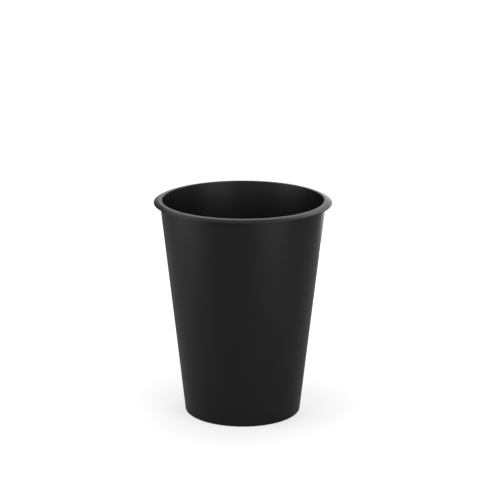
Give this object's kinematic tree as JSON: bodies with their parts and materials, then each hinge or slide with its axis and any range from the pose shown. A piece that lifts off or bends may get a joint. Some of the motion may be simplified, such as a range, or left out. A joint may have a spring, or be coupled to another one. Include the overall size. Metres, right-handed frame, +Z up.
{
  "type": "reusable vending cup",
  "caption": "Slim tapered plastic drinking cup with a smooth side, an out-turned lip, a recessed base and inner ribs that space a stack.",
  "frame": {"origin": "centre of the base, in the plane the foot ring stands on", "axes": "+Z up along the cup's axis of turning, from the foot to the lip; +X passes through one of the inner stacking ribs"},
  "size_m": [0.0702, 0.0702, 0.0868],
  "materials": {
    "cup_plastic": "injection-moulded black polypropylene with an even satin skin, smooth inside and out"
  },
  "bodies": {
    "root": {"cup": "cup_plastic"}
  },
  "joints": []
}
